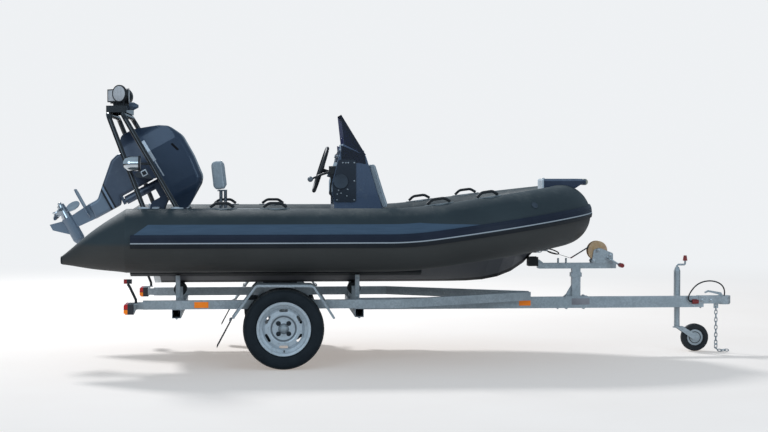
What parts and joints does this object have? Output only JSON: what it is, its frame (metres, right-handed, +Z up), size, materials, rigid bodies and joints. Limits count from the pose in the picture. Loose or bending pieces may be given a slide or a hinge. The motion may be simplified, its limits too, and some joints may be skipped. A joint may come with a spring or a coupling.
{
  "type": "inflatable boat on trailer",
  "caption": "Rigid-hulled inflatable boat with console, raised outboard engine and lamp roll bar, strapped on a galvanised trailer with jockey wheel and coupling.",
  "frame": {"origin": "on the floor, under the middle of the whole length and width", "axes": "+X to the bow and the coupling, +Y to port, +Z up"},
  "size_m": [4.9242, 1.804, 1.9233],
  "materials": {
    "tube_fabric": "satin",
    "strake_rubber": "satin",
    "hull_gelcoat": "gloss",
    "deck_trim": "gloss",
    "black_plastic": "matte",
    "console_gelcoat": "gloss",
    "smoked_screen": "gloss",
    "grey_vinyl": "satin",
    "stainless": "polished",
    "black_tube": "gloss",
    "engine_paint": "gloss",
    "galvanised": "satin",
    "wheel_paint": "satin",
    "tyre_rubber": "matte",
    "black_rubber": "matte",
    "beige_roller": "matte",
    "lamp_plastic": "gloss",
    "gold_zinc": "satin",
    "red_grip": "satin",
    "webbing": "matte"
  },
  "bodies": {
    "boat_and_trailer": {"axle_beam": "galvanised", "backrest": "grey_vinyl", "backrest_frame": "stainless", "bow_block": "black_rubber", "bow_roller": "beige_roller", "bow_step": "console_gelcoat", "bunks": "black_rubber", "buoyancy_tube": "tube_fabric", "clamp_bracket": "engine_paint", "console": "console_gelcoat", "console_cushions": "grey_vinyl", "console_side_panel": "black_plastic", "coupling_head": "galvanised", "cradle_posts": "galvanised", "crank_grips": "red_grip", "cross_members": "galvanised", "drawbar": "galvanised", "fenders": "galvanised", "grab_handles": "black_rubber", "hull": "hull_gelcoat", "jockey_tube": "galvanised", "keel_rollers": "black_rubber", "lamp_brackets": "galvanised", "lid_hinges": "stainless", "light_plug": "red_grip", "marker_lamps": "lamp_plastic", "mud_flaps": "black_rubber", "roll_bar": "black_tube", "roll_bar_lamps": "black_plastic", "rub_strake": "strake_rubber", "safety_chain": "galvanised", "seat_base": "console_gelcoat", "side_rails": "galvanised", "spot_lamps": "stainless", "throttle_control": "black_plastic", "trailer_lamps": "lamp_plastic", "transom": "deck_trim", "tube_end_caps": "black_rubber", "winch_drum": "gold_zinc", "winch_frame": "galvanised", "winch_post": "galvanised", "winch_strap": "webbing", "windscreen": "smoked_screen"},
    "port_wheel": {"port_tyre": "tyre_rubber", "port_rim": "wheel_paint", "port_hub": "galvanised"},
    "starboard_wheel": {"starboard_tyre": "tyre_rubber", "starboard_rim": "wheel_paint", "starboard_hub": "galvanised"},
    "tilt_yoke": {"swivel_bracket": "engine_paint"},
    "outboard": {"cowl": "engine_paint", "leg_housing": "engine_paint", "gearcase": "engine_paint"},
    "propeller_body": {"propeller": "stainless"},
    "helm_wheel": {"steering_wheel": "black_plastic"},
    "seat_lid_body": {"seat_lid": "grey_vinyl"},
    "bow_lid_body": {"bow_locker_lid": "console_gelcoat"},
    "jockey_slider": {"jockey_leg": "galvanised"},
    "jockey_swivel": {"jockey_fork": "galvanised"},
    "jockey_roller": {"jockey_wheel": "black_rubber"}
  },
  "joints": [
    {"name": "port_wheel_spin", "type": "hinge", "parent": "boat_and_trailer", "child": "port_wheel", "pos_m": [-0.823, 0.7975, 0.272], "axis": [0, 1, 0], "continuous": true},
    {"name": "starboard_wheel_spin", "type": "hinge", "parent": "boat_and_trailer", "child": "starboard_wheel", "pos_m": [-0.823, -0.7975, 0.272], "axis": [0, 1, 0], "continuous": true},
    {"name": "engine_tilt", "type": "hinge", "parent": "boat_and_trailer", "child": "tilt_yoke", "pos_m": [-1.653, 0, 1.13], "axis": [0, -1, 0], "range_deg": [0, 61.3]},
    {"name": "engine_steer", "type": "hinge", "parent": "tilt_yoke", "child": "outboard", "pos_m": [-1.7097, 0, 1.2335], "axis": [0.8771, 0, 0.4802], "range_deg": [-35, 35]},
    {"name": "propeller_spin", "type": "hinge", "parent": "outboard", "child": "propeller_body", "pos_m": [-2.2389, 0, 0.8092], "axis": [-0.4802, 0, 0.8771], "continuous": true},
    {"name": "helm_turn", "type": "hinge", "parent": "boat_and_trailer", "child": "helm_wheel", "pos_m": [-0.541, 0, 1.335], "axis": [0.9527, 0, -0.304], "range_deg": [-540, 540]},
    {"name": "seat_lid_hinge", "type": "hinge", "parent": "boat_and_trailer", "child": "seat_lid_body", "pos_m": [-0.7125, 0, 0.9906], "axis": [0, 1, 0], "range_deg": [0, 80]},
    {"name": "bow_lid_hinge", "type": "hinge", "parent": "boat_and_trailer", "child": "bow_lid_body", "pos_m": [0.8015, 0, 1.0013], "axis": [0, 1, 0], "range_deg": [0, 95]},
    {"name": "jockey_slide", "type": "slide", "parent": "boat_and_trailer", "child": "jockey_slider", "axis": [0, 0, 1], "range_m": [0, 0.13]},
    {"name": "jockey_turn", "type": "hinge", "parent": "jockey_slider", "child": "jockey_swivel", "pos_m": [2.085, 0.075, 0.18], "axis": [0, 0, 1], "continuous": true},
    {"name": "jockey_wheel_spin", "type": "hinge", "parent": "jockey_swivel", "child": "jockey_roller", "pos_m": [2.217, 0.075, 0.1], "axis": [0, 1, 0], "continuous": true}
  ],
  "couplings": [
    {"joint": "helm_turn", "follows": "engine_steer", "ratio": 15.429}
  ]
}
